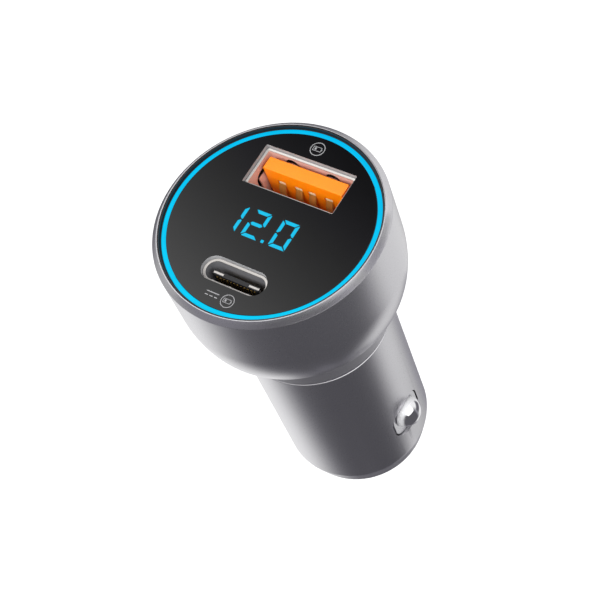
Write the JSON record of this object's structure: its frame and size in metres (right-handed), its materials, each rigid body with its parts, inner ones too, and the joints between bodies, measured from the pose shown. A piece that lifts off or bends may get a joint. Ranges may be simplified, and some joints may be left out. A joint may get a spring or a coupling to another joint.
{
  "type": "car usb charger plug",
  "caption": "Metal car charger plug with a lit ring, a large and a small charging port and a voltage reading, sprung side contacts and a sprung tip for a 12 V socket.",
  "frame": {"origin": "on the plug's axis, in the plane of the head's underside, which stops against the socket's mouth", "axes": "+Z along the axis out of the face with the ports; +X to the right of the reading, along the ports; +Y towards the large port"},
  "size_m": [0.03, 0.03, 0.0594],
  "materials": {
    "body_metal": "satin, light gunmetal, fine turned",
    "black_plastic": "moulded, satin black",
    "nickel": "plated, polished",
    "spring_steel": "drawn wire",
    "brass": "bare, stamped",
    "chrome": "plated, polished",
    "white_plastic": "moulded, matte white",
    "lit_ring": "milky light guide, glows cyan",
    "panel_gloss": "polished black",
    "lit_strokes": "clear light guide, glows cyan",
    "board": "lacquered circuit board",
    "lamp": "cast resin over a chip lamp",
    "port_steel": "nickel-plated sheet",
    "orange_plastic": "moulded, satin orange",
    "gilt": "gilt",
    "ferrite": "pressed ferrite, stone-like",
    "can_metal": "drawn can, satin",
    "chip": "moulded resin",
    "ceramic": "fired ceramic with tinned ends"
  },
  "bodies": {
    "housing": {"head_shell": "body_metal", "barrel_shell": "body_metal", "nose_cap": "black_plastic", "tip_spring": "spring_steel", "tip_terminal": "brass", "side_spring_right": "spring_steel", "side_spring_left": "spring_steel", "ground_pads": "brass", "contact_carrier": "white_plastic", "face_frame": "black_plastic", "light_ring": "lit_ring", "face_panel": "panel_gloss", "display_segments": "lit_strokes", "display_housing": "white_plastic", "display_board": "board", "ring_board": "board", "ring_lamps": "lamp", "header_pins": "brass", "round_board": "board", "port_a_shell": "port_steel", "port_a_tongue": "orange_plastic", "port_a_contacts": "gilt", "port_c_shell": "port_steel", "port_c_tongue": "black_plastic", "port_c_contacts": "gilt", "port_c_plate": "port_steel", "port_c_base": "black_plastic", "power_board": "board", "power_coil": "ferrite", "input_capacitor": "can_metal", "output_capacitor": "can_metal", "control_chips": "chip", "small_capacitors": "ceramic", "board_fuse": "ceramic"},
    "tip": {"tip_pin": "nickel"},
    "right_contact": {"side_contact_right": "chrome"},
    "left_contact": {"side_contact_left": "chrome"}
  },
  "joints": [
    {"name": "tip_press", "type": "slide", "parent": "housing", "child": "tip", "axis": [0, 0, 1], "range_m": [0, 0.0023], "stiffness_N_per_m": 900, "deforming": ["tip_spring"]},
    {"name": "right_contact_press", "type": "slide", "parent": "housing", "child": "right_contact", "axis": [-1, 0, 0], "range_m": [0, 0.00195], "stiffness_N_per_m": 1500, "deforming": ["side_spring_right"]},
    {"name": "left_contact_press", "type": "slide", "parent": "housing", "child": "left_contact", "axis": [1, 0, 0], "range_m": [0, 0.00195], "stiffness_N_per_m": 1500, "deforming": ["side_spring_left"]}
  ]
}
